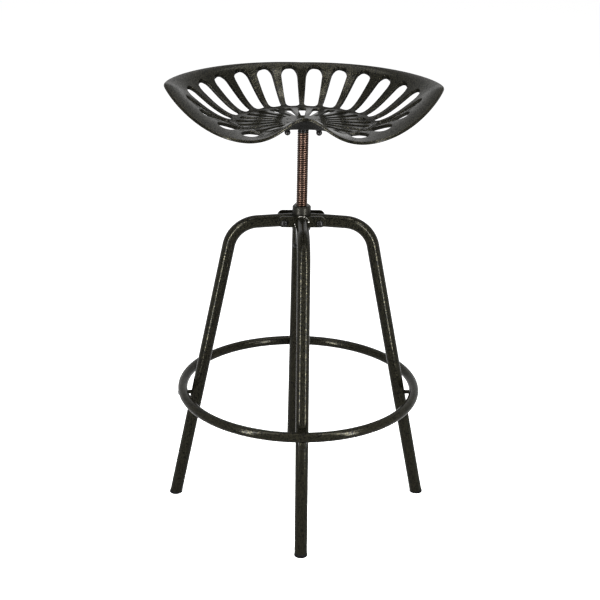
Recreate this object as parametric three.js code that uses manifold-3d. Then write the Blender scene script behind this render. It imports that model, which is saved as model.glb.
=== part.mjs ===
// Height-adjustable stool with a pierced tractor seat on a threaded spindle.
// Millimetres, +Z up, +Y to the back of the seat. The origin is on the floor under the spindle.
import * as THREE from 'three';
import { mergeVertices } from 'three/addons/utils/BufferGeometryUtils.js';
import Module from 'manifold-3d';

// Legs: four bent tubes, all to one bend
const legTube = 23.4;
const legWall = 1.5;
const footReach = 235.3;
const legLean = THREE.MathUtils.degToRad(11.43);
const armDroop = THREE.MathUtils.degToRad(4);
const bendRadius = 57;
const armHeight = 561.2;

// Hub: threaded collar, two clamp plates and the bolts through them
const collarOuter = 33.5;
const collarAbove = 26.3;
const collarBelow = 19.2;
const collarChamfer = 2.5;
const plateHeight = 20.5;
const plateLift = 0.3;
const plateThickness = 4;
const hubBoltReach = 32;
const hubBoltEdge = 11.5;
const hubBolt = 7.6;
const hubBoltShown = 1.9;
const hubBoltHead = 13;
const hubBoltHeadHeight = 4.5;
const hubNutAcross = 12;
const hubNutHeight = 6;
const spacerOuter = 12.4;

// Foot ring, with a lug under it and a bolt into each leg
const ringHeight = 228.7;
const ringTube = 18.2;
const ringWall = 1.5;
const ringStandoff = 9;
const ringVent = 4;
const ringBolt = 7.4;
const ringBoltHead = 14.5;
const ringBoltHeadHeight = 4;
const ringBoltBite = 9;
const lugOuter = 15;
const lugLength = 11;
const lugSink = 2.8;

// Foot caps: a plug in the tube and a flange under it
const capFlange = 25;
const capHeight = 4.5;
const capPlug = 20;
const capPlugTaper = 3;

// Spindle and its end stop
const spindle = 20;
const spindleShown = 145.8;
const spindleChamfer = 1.5;
const stopWasher = 30;
const stopWasherThickness = 3;
const stopScrew = 8;
const stopScrewHead = 16;
const stopScrewHeadHeight = 5;
const stopScrewGrip = 14;
const travelUp = 30;

// Seat plate and the bolts that hold the pan on it
const seatPlateWidth = 76;
const seatPlateDepth = 44;
const seatPlateCorner = 10;
const seatPlateThickness = 4.2;
const seatBoltEdge = 10;
const seatBolt = 6;
const seatBoltHead = 12;
const seatBoltHeadHeight = 3.2;
const seatBoltSink = 0.2;
const seatNutAcross = 11;
const seatNutHeight = 7;
const seatNutDome = 6.6;
const seatNutCrown = 2;
const seatTurn = THREE.MathUtils.degToRad(-0.8);

// Seat pan: outline in plan, rim heights above the low ring of the dish, and the wall
const panHalfWidth = 244.5;
const panBack = 185;
const panLobe = 162.8;
const panLobeSide = 85;
const panPommel = 124;
const panCornerForward = 16.8;
const panWall = 5;
const panRimWall = 3.2;
const panDishDrop = 2;
const rimRiseBack = 68.2;
const rimRiseCorner = 70.9;
const rimRiseLobe = 7.4;
const rimRiseFront = 3.4;
const rimRollWidth = 3;
const rimRollDrop = 2.7;
const pommelRise = 34.5;
const pommelWidth = 47.6;
const pommelStart = 36;
const hubMargin = 2;
const hubSlope = 61;

// Slots of the pan: a ring of wide ones near the rim, and narrower wedges on their ribs' lines inside it
const outerSlotsPerSide = 10;
const slotStartBack = 116.2;
const slotStartCorner = 130.6;
const slotStartLobe = 122;
const outerSlotCorner = 9;
const outerSlotCornerEnd = 12.8;
const outerSlotRib = 5.8;
const outerSlotRibEnd = 20.5;
const slotMarginBack = 10.3;
const slotMarginCorner = 34;
const slotMarginLobe = 29.2;
const innerSlotsPerSide = 10;
const innerSlotBand = 11;
const innerSlotWidth = 6.5;
const innerSlotWidthEnd = 15.5;
const innerSlotCorner = 2.2;
const innerSlotCornerEnd = 3.5;

// Clearances
const seatGap = 0.3;
const boreGap = 0.3;
const cutOverrun = 12;
const weldReach = 0.0001;

// How the pan's outline bends between its four corners, as shares of the spans
const backHandleShare = 0.696;
const cornerBackHandleShare = 0.282;
const cornerFrontHandleShare = 0.1;
const lobeHandleShare = 0.616;
const lobeInnerHandleShare = 0.41;
const pommelHandleShare = 0.18;
// How far round from the back the slots go, as shares of each half ring
const slotSweepInnerShare = 0.814;
const slotSweepOuterShare = 0.856;
// How late the dish climbs to the rim, as powers of the way out
const climbPowerBack = 1.22;
const climbPowerCorner = 1.3;
const climbPowerLobe = 0.54;
// How soon the rim starts to rise on each side of its back middle, as a power of the way round
const rimTurnPowerBack = 0.23;
// Where the rolled edge has its middle ring, as a share of its width
const rimRollMiddleShare = 0.33;

// Facets
const tubeSides = 12;
const ringSides = 10;
const ringSegments = 56;
const roundSides = 20;
const boltSides = 12;
const domeSteps = 2;
const bendSteps = 7;
const slotEndSteps = 2;
const panStationsPerSpan = [12, 11, 7];
const panRings = 7;

const wasm = await Module();
wasm.setup();

function solid(geometry) {
  const bare = geometry.clone();
  bare.deleteAttribute('normal');
  bare.deleteAttribute('uv');
  const merged = mergeVertices(bare, weldReach);
  const mesh = new wasm.Mesh({
    numProp: 3,
    vertProperties: new Float32Array(merged.attributes.position.array),
    triVerts: new Uint32Array(merged.index.array),
  });
  mesh.merge();
  return new wasm.Manifold(mesh);
}

function geometryOf(manifold) {
  const mesh = manifold.getMesh();
  const geometry = new THREE.BufferGeometry();
  geometry.setAttribute('position', new THREE.BufferAttribute(new Float32Array(mesh.vertProperties), 3));
  geometry.setIndex(new THREE.BufferAttribute(new Uint32Array(mesh.triVerts), 1));
  geometry.computeVertexNormals();
  return geometry;
}

function cut(body, ...tools) {
  return geometryOf(tools.reduce((left, tool) => left.subtract(solid(tool)), solid(body)));
}

function paint(color, roughness, metalness) {
  return { color, roughness, metalness };
}

const hammered = paint(0x2a2b26, 0.42, 0.5);
const hardwareBlack = paint(0x191917, 0.4, 0.6);
const copperySteel = paint(0x5a3a30, 0.45, 0.8);
const blackPlastic = paint(0x0c0c0c, 0.6, 0);

const group = new THREE.Group();
const seat = new THREE.Group();
seat.rotation.z = seatTurn;
group.add(seat);

function add(name, geometry, look, place = {}) {
  const mesh = new THREE.Mesh(geometry, new THREE.MeshStandardMaterial(look));
  mesh.name = name;
  mesh.position.set(place.x ?? 0, place.y ?? 0, place.z ?? 0);
  mesh.rotation.z = place.turn ?? 0;
  (place.on ?? group).add(mesh);
}

// A round bar or tube along an axis of the frame, from one place to another
function bar(axis, from, to, radius, sides = roundSides) {
  const length = to - from;
  const geometry = new THREE.CylinderGeometry(radius, radius, length, sides);
  geometry.rotateX(Math.PI / 2);
  geometry.translate(0, 0, from + length / 2);
  if (axis === 'x') geometry.rotateY(Math.PI / 2);
  if (axis === 'y') geometry.rotateX(-Math.PI / 2);
  return geometry;
}

function turned(points, sides = roundSides) {
  const profile = points.map(([radius, height]) => new THREE.Vector2(radius, height));
  const geometry = new THREE.LatheGeometry(profile, sides);
  geometry.rotateX(Math.PI / 2);
  return geometry;
}

function hexagon(across, height, bore) {
  const shape = new THREE.Shape();
  const corner = across / Math.sqrt(3);
  for (let side = 0; side < 6; side += 1) {
    const angle = (side * Math.PI) / 3;
    const point = [corner * Math.cos(angle), corner * Math.sin(angle)];
    if (side) shape.lineTo(...point);
    else shape.moveTo(...point);
  }
  const hole = new THREE.Path();
  hole.absarc(0, 0, bore / 2, 0, 2 * Math.PI, true);
  shape.holes.push(hole);
  const curveSegments = boltSides / 2;
  return new THREE.ExtrudeGeometry(shape, { depth: height, bevelEnabled: false, curveSegments });
}

// Each leg lies in the plane of +X here, and is turned about Z to its place
const sides = [
  { side: 'right', turn: 0 },
  { side: 'rear', turn: Math.PI / 2 },
  { side: 'left', turn: Math.PI },
  { side: 'front', turn: -Math.PI / 2 },
];

const legDirection = new THREE.Vector2(Math.sin(legLean), -Math.cos(legLean));
const armDirection = new THREE.Vector2(Math.cos(armDroop), -Math.sin(armDroop));
const legTurn = Math.PI / 2 - legLean - armDroop;
const legRadius = legTube / 2;
const tubeEndAlong = capHeight;

function legReachAt(height) {
  return footReach - height * Math.tan(legLean);
}

// Corner where the straight arm would meet the straight leg
const cornerReach =
  (armHeight - footReach / Math.tan(legLean)) / (Math.tan(armDroop) - 1 / Math.tan(legLean));
const bendCorner = new THREE.Vector2(cornerReach, armHeight - cornerReach * Math.tan(armDroop));
const bendTangent = bendRadius * Math.tan(legTurn / 2);

class LegPath extends THREE.Curve {
  constructor() {
    super();
    const bendStart = bendCorner.clone().addScaledVector(armDirection, -bendTangent);
    const bendEnd = bendCorner.clone().addScaledVector(legDirection, bendTangent);
    const centre = new THREE.Vector2(-armDirection.y, armDirection.x).multiplyScalar(-bendRadius);
    centre.add(bendStart);
    const foot = new THREE.Vector2(footReach, 0).addScaledVector(legDirection, -tubeEndAlong);
    const root = new THREE.Vector2(0, armHeight);
    this.stations = [root, bendStart];
    for (let step = 1; step < bendSteps; step += 1) {
      const spoke = bendStart.clone().sub(centre);
      spoke.rotateAround(new THREE.Vector2(), (-legTurn * step) / bendSteps);
      this.stations.push(spoke.add(centre));
    }
    this.stations.push(bendEnd, foot);
    this.tangents = this.stations.map((_, place) => {
      const turned = THREE.MathUtils.clamp((place - 1) / bendSteps, 0, 1) * legTurn;
      return armDirection.clone().rotateAround(new THREE.Vector2(), -turned);
    });
  }

  station(share) {
    return Math.round(share * (this.stations.length - 1));
  }

  getPoint(share) {
    const point = this.stations[this.station(share)];
    return new THREE.Vector3(point.x, 0, point.y);
  }

  getPointAt(share) {
    return this.getPoint(share);
  }

  getTangent(share) {
    const tangent = this.tangents[this.station(share)];
    return new THREE.Vector3(tangent.x, 0, tangent.y);
  }

  getTangentAt(share) {
    return this.getTangent(share);
  }
}

const legPath = new LegPath();

function sweptLeg(radius, bore) {
  const section = new THREE.Shape();
  section.absarc(0, 0, radius, 0, 2 * Math.PI, false);
  if (bore) {
    const hole = new THREE.Path();
    hole.absarc(0, 0, bore, 0, 2 * Math.PI, true);
    section.holes.push(hole);
  }
  return new THREE.ExtrudeGeometry(section, {
    steps: legPath.stations.length - 1,
    curveSegments: tubeSides / 2,
    bevelEnabled: false,
    extrudePath: legPath,
  });
}

const legTubeSolid = sweptLeg(legRadius, legRadius - legWall);
const plateInner = Math.max(collarOuter, legTube) / 2 + seatGap;
const plateOuter = plateInner + plateThickness;
const plateLength = 2 * (hubBoltReach + hubBoltEdge);
const collarTop = armHeight + collarAbove;
const collarBottom = armHeight - collarBelow;
const hubBoltHeight = armHeight - hubBoltReach * Math.tan(armDroop);

const lugHeight = ringHeight - ringTube / 2 - lugOuter / 2 + lugSink;
const legHalfAcross = legRadius / Math.cos(legLean);
const ringRadius = legReachAt(ringHeight) + legHalfAcross + ringStandoff + ringTube / 2;
const ringBoltHole = bar('x', legReachAt(lugHeight), ringRadius, ringBolt / 2 + boreGap, boltSides);
ringBoltHole.translate(0, 0, lugHeight);

const spacerHole = bar('y', -plateOuter, plateOuter, spacerOuter / 2 + boreGap, boltSides);
spacerHole.translate(hubBoltReach, 0, hubBoltHeight);
const collarCut = bar('z', collarBottom - cutOverrun, collarTop, collarOuter / 2 + seatGap, roundSides);
const plateCut = new THREE.BoxGeometry(2 * (plateOuter + seatGap), plateLength, plateHeight + 2 * cutOverrun);
plateCut.translate(0, 0, armHeight);

const sideLeg = cut(legTubeSolid, collarCut, spacerHole, ringBoltHole);
const endLeg = cut(legTubeSolid, plateCut, ringBoltHole);
for (const { side, turn } of sides) {
  const isArm = side === 'left' || side === 'right';
  add(`${side}_leg`, (isArm ? sideLeg : endLeg).clone(), hammered, { turn });
}

// Foot caps: turned about the leg's own axis, then cut flat on the floor
const plugRadius = legRadius - legWall - seatGap;
const capLathe = turned([
  [0, -capHeight - cutOverrun],
  [capFlange / 2, -capHeight - cutOverrun],
  [capFlange / 2, -seatGap],
  [plugRadius, -seatGap],
  [plugRadius, capPlug - capPlugTaper],
  [plugRadius - capPlugTaper, capPlug],
  [0, capPlug],
], tubeSides);
capLathe.rotateY(-legLean);
const capSeat = new THREE.Vector2(footReach, 0).addScaledVector(legDirection, -tubeEndAlong);
capLathe.translate(capSeat.x, 0, capSeat.y);
const floorCut = new THREE.BoxGeometry(2 * capFlange, 2 * capFlange, 2 * cutOverrun + capHeight);
floorCut.translate(footReach, 0, -cutOverrun - capHeight / 2);
const footCap = cut(capLathe, floorCut);
for (const { side, turn } of sides) add(`${side}_foot_cap`, footCap.clone(), blackPlastic, { turn });

// Hub
const bore = spindle / 2 + boreGap;
add('hub_collar', turned([
  [bore, collarBottom],
  [collarOuter / 2, collarBottom],
  [collarOuter / 2, collarTop - collarChamfer],
  [collarOuter / 2 - collarChamfer, collarTop],
  [bore, collarTop],
  [bore, collarBottom],
]), hammered);

const plateCentre = armHeight + plateLift;
function clampPlate() {
  const shape = new THREE.Shape();
  const end = plateLength / 2 - plateHeight / 2;
  shape.absarc(end, 0, plateHeight / 2, -Math.PI / 2, Math.PI / 2, false);
  shape.absarc(-end, 0, plateHeight / 2, Math.PI / 2, (3 * Math.PI) / 2, false);
  shape.closePath();
  for (const reach of [-hubBoltReach, hubBoltReach]) {
    const hole = new THREE.Path();
    hole.absarc(reach, hubBoltHeight - plateCentre, hubBolt / 2 + boreGap, 0, 2 * Math.PI, true);
    shape.holes.push(hole);
  }
  const curveSegments = boltSides / 2;
  const options = { depth: plateThickness, bevelEnabled: false, curveSegments };
  const geometry = new THREE.ExtrudeGeometry(shape, options);
  geometry.rotateX(Math.PI / 2);
  return geometry;
}
add('front_plate', clampPlate(), hammered, { y: -plateInner, z: plateCentre });
add('rear_plate', clampPlate(), hammered, { y: plateOuter, z: plateCentre });

const boltFront = -plateOuter - seatGap;
const boltBack = plateOuter + hubNutHeight + seatGap + hubBoltShown;
function domeBolt(shank, head, headHeight, tail) {
  const crown = new THREE.EllipseCurve(0, 0, head / 2, headHeight, 0, Math.PI / 2);
  const dome = crown.getPoints(domeSteps).map((point) => [point.x, point.y]);
  dome[dome.length - 1][0] = 0;
  return turned([[0, -tail], [shank / 2, -tail], [shank / 2, 0], ...dome], boltSides);
}
for (const [side, reach] of [['left', -hubBoltReach], ['right', hubBoltReach]]) {
  const bolt = domeBolt(hubBolt, hubBoltHead, hubBoltHeadHeight, boltBack - boltFront);
  bolt.rotateX(Math.PI / 2);
  add(`${side}_hub_bolt`, bolt, hardwareBlack, { x: reach, y: boltFront, z: hubBoltHeight });
  const nut = hexagon(hubNutAcross, hubNutHeight, hubBolt + 2 * boreGap);
  nut.rotateX(-Math.PI / 2);
  add(`${side}_hub_nut`, nut, hardwareBlack, { x: reach, y: plateOuter + seatGap, z: hubBoltHeight });
  const half = plateInner - seatGap;
  const spacerBore = hubBolt / 2 + boreGap;
  const spacer = turned([
    [spacerBore, -half],
    [spacerOuter / 2, -half],
    [spacerOuter / 2, half],
    [spacerBore, half],
    [spacerBore, -half],
  ], boltSides);
  spacer.rotateX(Math.PI / 2);
  add(`${side}_hub_spacer`, spacer, hardwareBlack, { x: reach, z: hubBoltHeight });
}

// Foot ring, hollow, with its four lugs and bolts
function torus(radius) {
  return new THREE.TorusGeometry(ringRadius, radius, ringSides, ringSegments);
}
const lugDrop = lugHeight - ringHeight;
const ringVents = sides.map(({ turn }) => {
  const vent = bar('z', -ringTube / 2 - cutOverrun, 0, ringVent / 2, boltSides / 2);
  vent.translate(ringRadius, 0, 0);
  vent.rotateZ(turn + Math.PI / 4);
  return vent;
});
const ring = cut(torus(ringTube / 2), torus(ringTube / 2 - ringWall), ...ringVents);
add('foot_ring', ring, hammered, { z: ringHeight });

const lug = bar('x', ringRadius - lugLength / 2, ringRadius + lugLength / 2, lugOuter / 2, boltSides);
lug.translate(0, 0, lugDrop);
const lugBore = bar('x', 0, ringRadius + lugLength, ringBolt / 2 + boreGap, boltSides);
lugBore.translate(0, 0, lugDrop);
const lugSolid = cut(lug, torus(ringTube / 2 + seatGap), lugBore);
lugSolid.translate(0, 0, ringHeight);

const ringBoltSeat = ringRadius + lugLength / 2 + seatGap;
const ringBoltTip = legReachAt(lugHeight) + legHalfAcross - ringBoltBite;
const ringBoltSolid = domeBolt(ringBolt, ringBoltHead, ringBoltHeadHeight, ringBoltSeat - ringBoltTip);
ringBoltSolid.rotateY(Math.PI / 2);
ringBoltSolid.translate(ringBoltSeat, 0, lugHeight);
for (const { side, turn } of sides) {
  add(`${side}_ring_lug`, lugSolid.clone(), hammered, { turn });
  add(`${side}_ring_bolt`, ringBoltSolid.clone(), hardwareBlack, { turn });
}

// Spindle, with the screw and washer that stop it at the top of its travel
const seatPlateBottom = collarTop + spindleShown;
const spindleTop = seatPlateBottom - seatGap;
const spindleEnd = collarBottom - travelUp;
const stopHole = stopScrew / 2 + boreGap;
add('spindle', turned([
  [0, spindleEnd + stopScrewGrip],
  [stopHole, spindleEnd + stopScrewGrip],
  [stopHole, spindleEnd],
  [spindle / 2 - spindleChamfer, spindleEnd],
  [spindle / 2, spindleEnd + spindleChamfer],
  [spindle / 2, spindleTop],
  [0, spindleTop],
]), copperySteel, { on: seat });
const washerTop = spindleEnd - seatGap;
const washerBottom = washerTop - stopWasherThickness;
add('stop_washer', turned([
  [stopHole, washerBottom],
  [stopWasher / 2, washerBottom],
  [stopWasher / 2, washerTop],
  [stopHole, washerTop],
  [stopHole, washerBottom],
]), hardwareBlack, { on: seat });
const stopTail = stopScrewGrip + stopWasherThickness;
const stopBolt = domeBolt(stopScrew, stopScrewHead, stopScrewHeadHeight, stopTail);
stopBolt.rotateX(Math.PI);
add('stop_screw', stopBolt, hardwareBlack, { z: washerBottom - seatGap, on: seat });

// Seat plate
const plateShape = new THREE.Shape();
const flatWidth = seatPlateWidth / 2 - seatPlateCorner;
const flatDepth = seatPlateDepth / 2 - seatPlateCorner;
[[1, 1, 0], [-1, 1, 1], [-1, -1, 2], [1, -1, 3]].forEach(([x, y, quarter]) => {
  const start = (quarter * Math.PI) / 2;
  plateShape.absarc(x * flatWidth, y * flatDepth, seatPlateCorner, start, start + Math.PI / 2, false);
});
plateShape.closePath();
const seatBoltSide = seatPlateWidth / 2 - seatBoltEdge;
const seatBoltReach = seatPlateDepth / 2 - seatBoltEdge;
const boltPlaces = [['left', -1], ['right', 1]].flatMap(([side, x]) => [['front', -1], ['rear', 1]]
  .map(([end, y]) => ({ name: `${end}_${side}`, x: x * seatBoltSide, y: y * seatBoltReach })));
for (const { x, y } of boltPlaces) {
  const hole = new THREE.Path();
  hole.absarc(x, y, seatBolt / 2 + boreGap, 0, 2 * Math.PI, true);
  plateShape.holes.push(hole);
}
add('seat_plate', new THREE.ExtrudeGeometry(plateShape, {
  depth: seatPlateThickness, bevelEnabled: false, curveSegments: boltSides / 3,
}), hammered, { z: seatPlateBottom, on: seat });

// Seat pan. Its outline runs in three spans on each side: back to corner, corner to lobe, lobe to pommel.
const panTopCentre = seatPlateBottom + seatPlateThickness + seatGap + panWall;
const dishLow = panTopCentre - panDishDrop;
const hubFlat = Math.hypot(flatWidth, flatDepth) + seatPlateCorner + hubMargin;
const hubFoot = hubFlat + hubSlope;
const cornerBack = cornerBackHandleShare * (panBack + panCornerForward) - panCornerForward;
const cornerFront = -panCornerForward - cornerFrontHandleShare * (panLobe - panCornerForward);
const lobeSide = panLobeSide + lobeHandleShare * (panHalfWidth - panLobeSide);
const outlineSpans = [
  new THREE.CubicBezierCurve(
    new THREE.Vector2(0, panBack),
    new THREE.Vector2(backHandleShare * panHalfWidth, panBack),
    new THREE.Vector2(panHalfWidth, cornerBack),
    new THREE.Vector2(panHalfWidth, -panCornerForward),
  ),
  new THREE.CubicBezierCurve(
    new THREE.Vector2(panHalfWidth, -panCornerForward),
    new THREE.Vector2(panHalfWidth, cornerFront),
    new THREE.Vector2(lobeSide, -panLobe),
    new THREE.Vector2(panLobeSide, -panLobe),
  ),
  new THREE.CubicBezierCurve(
    new THREE.Vector2(panLobeSide, -panLobe),
    new THREE.Vector2((1 - lobeInnerHandleShare) * panLobeSide, -panLobe),
    new THREE.Vector2(pommelHandleShare * panLobeSide, -panPommel),
    new THREE.Vector2(0, -panPommel),
  ),
];
const rimRises = [rimRiseBack, rimRiseCorner, rimRiseLobe, rimRiseFront];
const climbPowers = [climbPowerBack, climbPowerCorner, climbPowerLobe, climbPowerLobe];
const slotMargins = [slotMarginBack, slotMarginCorner, slotMarginLobe, slotMarginLobe];
const slotStarts = [slotStartBack, slotStartCorner, slotStartLobe, slotStartLobe];

function eased(values, span, share) {
  return THREE.MathUtils.lerp(values[span], values[span + 1], THREE.MathUtils.smoothstep(share, 0, 1));
}

// Rim stations once round the pan, from the back centre by the right side
const rightStations = [];
panStationsPerSpan.forEach((count, span) => {
  for (let step = 0; step < count; step += 1) {
    const share = step / count;
    const point = outlineSpans[span].getPoint(share);
    rightStations.push({
      x: point.x,
      y: point.y,
      rise: eased(rimRises, span, share ** (span === 0 ? rimTurnPowerBack : 1)),
      power: eased(climbPowers, span, share),
      margin: eased(slotMargins, span, share),
      start: eased(slotStarts, span, share),
    });
  }
});
const pommelStation = {
  x: 0,
  y: -panPommel,
  rise: rimRiseFront,
  power: climbPowerLobe,
  margin: slotMarginLobe,
  start: slotStartLobe,
};
const leftStations = rightStations.slice(1).reverse().map((station) => ({ ...station, x: -station.x }));
const rim = [...rightStations, pommelStation, ...leftStations];

function panTop(station, radius) {
  const reach = Math.hypot(station.x, station.y);
  const x = (station.x * radius) / reach;
  const y = (station.y * radius) / reach;
  const wayOut = THREE.MathUtils.clamp((radius - hubFoot) / (reach - hubFoot), 0, 1);
  const climb = THREE.MathUtils.smoothstep(wayOut ** station.power, 0, 1);
  const roll = Math.max(0, (radius - reach + rimRollWidth) / rimRollWidth) ** 2;
  const hub = 1 - THREE.MathUtils.smoothstep(radius, hubFlat, hubFoot);
  const wayForward = THREE.MathUtils.smoothstep(-y, pommelStart, panPommel);
  const ridge = Math.exp(-((x / pommelWidth) ** 2)) * wayForward;
  const dish = dishLow + station.rise * climb - rimRollDrop * roll;
  return new THREE.Vector3(x, y, dish + panDishDrop * hub + pommelRise * ridge);
}

function panRadii(station) {
  const reach = Math.hypot(station.x, station.y);
  const radii = [hubFlat / 2, hubFlat, (hubFlat + hubFoot) / 2];
  const edge = reach - rimRollWidth;
  for (let step = 0; step < panRings; step += 1) {
    radii.push(THREE.MathUtils.lerp(hubFoot, edge, step / (panRings - 1)));
  }
  radii.push(reach - rimRollWidth * rimRollMiddleShare, reach);
  return radii;
}

function panShell() {
  const count = rim.length;
  const grid = rim.map((station) => panRadii(station).map((radius) => panTop(station, radius)));
  const ringsEach = grid[0].length;
  const positions = [new THREE.Vector3(0, 0, panTopCentre)];
  grid.forEach((line) => positions.push(...line));
  const under = positions.length;
  positions.push(new THREE.Vector3(0, 0, panTopCentre - panWall));
  grid.forEach((line, turn) => line.forEach((point, place) => {
    const outward = line[Math.min(place + 1, ringsEach - 1)].clone().sub(line[Math.max(place - 1, 0)]);
    const around = grid[(turn + count - 1) % count][place].clone().sub(grid[(turn + 1) % count][place]);
    const normal = outward.cross(around).normalize();
    const reach = Math.hypot(rim[turn].x, rim[turn].y);
    const thinning = THREE.MathUtils.smoothstep(Math.hypot(point.x, point.y), hubFoot, reach);
    const wall = THREE.MathUtils.lerp(panWall, panRimWall, thinning);
    positions.push(point.clone().addScaledVector(normal, -wall));
  }));
  const top = (turn, place) => 1 + (turn % count) * ringsEach + place;
  const faces = [];
  for (let turn = 0; turn < count; turn += 1) {
    faces.push([0, top(turn + 1, 0), top(turn, 0)]);
    faces.push([under, under + top(turn, 0), under + top(turn + 1, 0)]);
    for (let place = 0; place < ringsEach - 1; place += 1) {
      const [a, b] = [top(turn, place), top(turn, place + 1)];
      const [c, d] = [top(turn + 1, place + 1), top(turn + 1, place)];
      faces.push([a, d, c], [a, c, b]);
      faces.push([under + a, under + c, under + d], [under + a, under + b, under + c]);
    }
    const [a, b] = [top(turn, ringsEach - 1), top(turn + 1, ringsEach - 1)];
    faces.push([a, b, under + b], [a, under + b, under + a]);
  }
  const geometry = new THREE.BufferGeometry();
  const numbers = positions.flatMap((point) => point.toArray());
  geometry.setAttribute('position', new THREE.Float32BufferAttribute(numbers, 3));
  geometry.setIndex(faces.flat());
  return geometry;
}

// A ring round the right half of the pan, from the back centre to the front
function halfRing(radiusAt) {
  return new THREE.SplineCurve([...rightStations, pommelStation].map((station) => {
    return new THREE.Vector2(station.x, station.y).setLength(radiusAt(station));
  }));
}
const startRing = halfRing((station) => station.start);
const endRing = halfRing((station) => Math.hypot(station.x, station.y) - station.margin);
const bandRing = halfRing((station) => station.start - innerSlotBand);

// A slot that widens outward, with rounded corners, cut straight down
function slotTool(from, to, startWidth, endWidth, startCorner, endCorner) {
  const narrow = startWidth / 2;
  const wide = endWidth / 2;
  const length = from.distanceTo(to);
  const bend = Math.min(startCorner, narrow - seatGap);
  const turn = Math.min(endCorner, wide);
  const shape = new THREE.Shape();
  shape.absarc(wide - turn, length - turn, turn, 0, Math.PI / 2, false);
  shape.absarc(turn - wide, length - turn, turn, Math.PI / 2, Math.PI, false);
  shape.lineTo(-narrow, bend);
  shape.quadraticCurveTo(-narrow, 0, bend - narrow, 0);
  shape.lineTo(narrow - bend, 0);
  shape.quadraticCurveTo(narrow, 0, narrow, bend);
  shape.closePath();
  const depth = rimRiseCorner + panDishDrop + 2 * cutOverrun;
  const curveSegments = slotEndSteps;
  const tool = new THREE.ExtrudeGeometry(shape, { depth, bevelEnabled: false, curveSegments });
  tool.rotateZ(Math.atan2(from.x - to.x, to.y - from.y));
  tool.translate(from.x, from.y, dishLow - panWall - cutOverrun);
  return tool;
}

const slotStep = 1 / outerSlotsPerSide;
const startPitch = startRing.getLength() * slotSweepInnerShare * slotStep;
const endPitch = endRing.getLength() * slotSweepOuterShare * slotStep;
const rightSlots = [];
for (let slot = 0; slot < outerSlotsPerSide; slot += 1) {
  const share = (slot + 0.5) * slotStep;
  const from = startRing.getPointAt(share * slotSweepInnerShare);
  const to = endRing.getPointAt(share * slotSweepOuterShare);
  const widths = [startPitch - outerSlotRib, endPitch - outerSlotRibEnd];
  rightSlots.push([from, to, ...widths, outerSlotCorner, outerSlotCornerEnd]);
}
for (let slot = 0; slot <= innerSlotsPerSide; slot += 1) {
  const to = bandRing.getPointAt(slot * slotStep * slotSweepInnerShare);
  const from = to.clone().setLength(hubFlat);
  rightSlots.push([from, to, innerSlotWidth, innerSlotWidthEnd, innerSlotCorner, innerSlotCornerEnd]);
}
const mirrored = ({ x, y }) => new THREE.Vector2(-x, y);
const leftSlots = rightSlots.filter(([from]) => from.x > 0)
  .map(([from, to, ...sizes]) => [mirrored(from), mirrored(to), ...sizes]);
const slotTools = [...rightSlots, ...leftSlots].map((slot) => slotTool(...slot));
const headReach = seatBoltHead / 2;
const panBoltHoles = boltPlaces.map(({ x, y }) => {
  const hole = turned([
    [0, seatPlateBottom],
    [seatBolt / 2 + boreGap, seatPlateBottom],
    [seatBolt / 2 + boreGap, panTopCentre - seatBoltHeadHeight - boreGap],
    [headReach + boreGap, panTopCentre - boreGap],
    [headReach + boreGap, panTopCentre + cutOverrun],
    [0, panTopCentre + cutOverrun],
  ], boltSides);
  hole.translate(x, y, 0);
  return hole;
});
add('seat_pan', cut(panShell(), ...slotTools, ...panBoltHoles), hammered, { on: seat });

// Countersunk seat bolts, flush with the pan, with their cap nuts under the plate
const nutTop = seatPlateBottom - seatGap;
const boltTop = panTopCentre - seatBoltSink;
const seatBoltSolid = turned([
  [0, nutTop - seatNutHeight],
  [seatBolt / 2, nutTop - seatNutHeight],
  [seatBolt / 2, boltTop - seatBoltHeadHeight],
  [headReach, boltTop],
  [0, boltTop],
], boltSides);
const nutBore = seatBolt / 2 + boreGap;
const capDome = turned([
  [0, -seatNutHeight - seatNutDome],
  [seatNutAcross / 4, -seatNutHeight - seatNutDome + seatNutCrown / 2],
  [seatNutAcross / 2 - seatGap, -seatNutHeight - seatNutCrown],
  [seatNutAcross / 2 - seatGap, -seatNutHeight + seatNutCrown],
  [nutBore, -seatNutHeight + seatNutCrown],
  [nutBore, -seatNutHeight - seatNutCrown / 2],
  [0, -seatNutHeight - seatNutCrown / 2],
], boltSides);
const capHexagon = hexagon(seatNutAcross, seatNutHeight, 2 * nutBore);
capHexagon.translate(0, 0, -seatNutHeight);
const capNut = geometryOf(solid(capHexagon).add(solid(capDome)));
for (const { name, x, y } of boltPlaces) {
  add(`${name}_seat_bolt`, seatBoltSolid.clone(), hardwareBlack, { x, y, on: seat });
  add(`${name}_seat_nut`, capNut.clone(), hardwareBlack, { x, y, z: nutTop, on: seat });
}

export default group;
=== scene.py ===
import math

import bmesh
import bpy
import numpy as np
from mathutils import Matrix, Vector


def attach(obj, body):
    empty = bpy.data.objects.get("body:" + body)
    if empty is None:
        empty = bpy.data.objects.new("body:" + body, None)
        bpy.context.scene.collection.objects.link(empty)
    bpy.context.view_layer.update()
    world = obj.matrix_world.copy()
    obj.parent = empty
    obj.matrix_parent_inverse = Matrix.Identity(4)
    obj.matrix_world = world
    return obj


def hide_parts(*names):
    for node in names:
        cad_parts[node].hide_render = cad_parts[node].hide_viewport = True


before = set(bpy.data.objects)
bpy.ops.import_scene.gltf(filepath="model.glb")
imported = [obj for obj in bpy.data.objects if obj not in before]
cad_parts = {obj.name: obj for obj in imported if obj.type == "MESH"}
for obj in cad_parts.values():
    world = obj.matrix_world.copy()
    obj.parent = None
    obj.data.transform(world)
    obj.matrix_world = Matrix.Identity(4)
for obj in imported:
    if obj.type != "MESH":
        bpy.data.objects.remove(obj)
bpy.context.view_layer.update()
mm = 0.001
closeBy = 0.002 * mm  # points nearer than this become one
print("frame loaded")


# working in object and edit mode

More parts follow.
